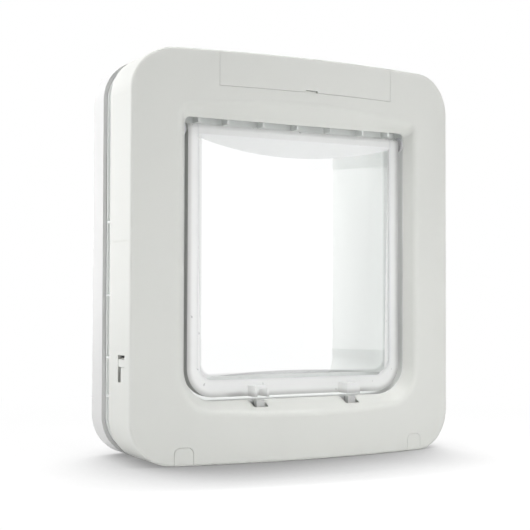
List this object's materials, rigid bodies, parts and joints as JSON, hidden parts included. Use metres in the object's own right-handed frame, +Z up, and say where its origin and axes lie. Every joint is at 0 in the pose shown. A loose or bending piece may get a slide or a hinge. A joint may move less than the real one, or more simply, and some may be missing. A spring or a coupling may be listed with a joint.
{
  "type": "cat flap",
  "caption": "White rounded-square pet flap for a door: bowed inside frame with battery cover, clear swinging flap with lockable latches, tunnel and outside frame.",
  "frame": {"origin": "centre of the underside's box: midway across, midway between the bowed front and the tunnel's far end, at the lower edge it stands on", "axes": "+Z up, +Y from the inside frame towards the outside, +X to the right as seen from inside the room"},
  "size_m": [0.262, 0.122, 0.286],
  "materials": {
    "white_shell": "fine satin moulded texture, off-white",
    "clear_flap": "clear polished",
    "grey_bush": "smooth",
    "grey_latch": "smooth satin",
    "dark_carrier": "moulded matte",
    "cell_can": "printed sleeve, plain",
    "contact_metal": "nickel plated",
    "magnet_metal": "nickel plated",
    "motor_case": "drawn can",
    "coil_wire": "enamelled wire, taped",
    "board_laminate": "solder mask",
    "button_cap": "smooth"
  },
  "bodies": {
    "frame": {"antenna_coil": "coil_wire", "battery_cell_back_left": "cell_can", "battery_cell_back_right": "cell_can", "battery_cell_front_left": "cell_can", "battery_cell_front_right": "cell_can", "battery_contacts_left": "contact_metal", "battery_contacts_right": "contact_metal", "chassis_tunnel": "white_shell", "circuit_board": "board_laminate", "frame_screws": "contact_metal", "front_housing": "white_shell", "hinge_bush_left": "grey_bush", "hinge_bush_right": "grey_bush", "latch_motor_left": "motor_case", "latch_motor_right": "motor_case", "lock_carrier": "dark_carrier", "rear_frame": "white_shell", "screw_cover_left": "white_shell", "screw_cover_right": "white_shell", "sill_magnets": "magnet_metal"},
    "flap": {"flap": "clear_flap", "flap_magnets": "magnet_metal"},
    "battery_cover": {"battery_cover": "white_shell"},
    "learn_button": {"learn_button": "button_cap"},
    "latch_cam_left": {"latch_cam_left": "grey_latch"},
    "latch_cam_right": {"latch_cam_right": "grey_latch"},
    "latch_left": {"latch_left": "grey_latch"},
    "latch_right": {"latch_right": "grey_latch"},
    "lock_slider": {"lock_slider": "white_shell"}
  },
  "joints": [
    {"name": "flap_swing", "type": "hinge", "parent": "frame", "child": "flap", "pos_m": [0, -0.037, 0.232], "axis": [1, 0, 0], "range_deg": [-80, 80]},
    {"name": "battery_cover_lift", "type": "slide", "parent": "frame", "child": "battery_cover", "axis": [0, 0, 1], "range_m": [0, 0.03]},
    {"name": "learn_button_press", "type": "slide", "parent": "frame", "child": "learn_button", "axis": [0, 0, -1], "range_m": [0, 0.0008], "stiffness_N_per_m": 600},
    {"name": "latch_cam_left_turn", "type": "hinge", "parent": "frame", "child": "latch_cam_left", "pos_m": [-0.0352, -0.0485, 0.015], "axis": [0, 1, 0], "range_deg": [0, 180.5]},
    {"name": "latch_left_lift", "type": "slide", "parent": "frame", "child": "latch_left", "axis": [0, 0, 1], "range_m": [0, 0.006]},
    {"name": "latch_cam_right_turn", "type": "hinge", "parent": "frame", "child": "latch_cam_right", "pos_m": [0.0402, -0.0485, 0.015], "axis": [0, 1, 0], "range_deg": [0, 180.5]},
    {"name": "latch_right_lift", "type": "slide", "parent": "frame", "child": "latch_right", "axis": [0, 0, 1], "range_m": [0, 0.006]},
    {"name": "lock_slider_move", "type": "slide", "parent": "frame", "child": "lock_slider", "axis": [0, 0, 1], "range_m": [0, 0.0025]}
  ],
  "couplings": [
    {"joint": "latch_cam_left_turn", "follows": "latch_left_lift", "rad_per_m": 523.6},
    {"joint": "latch_cam_right_turn", "follows": "latch_right_lift", "rad_per_m": 523.6}
  ]
}
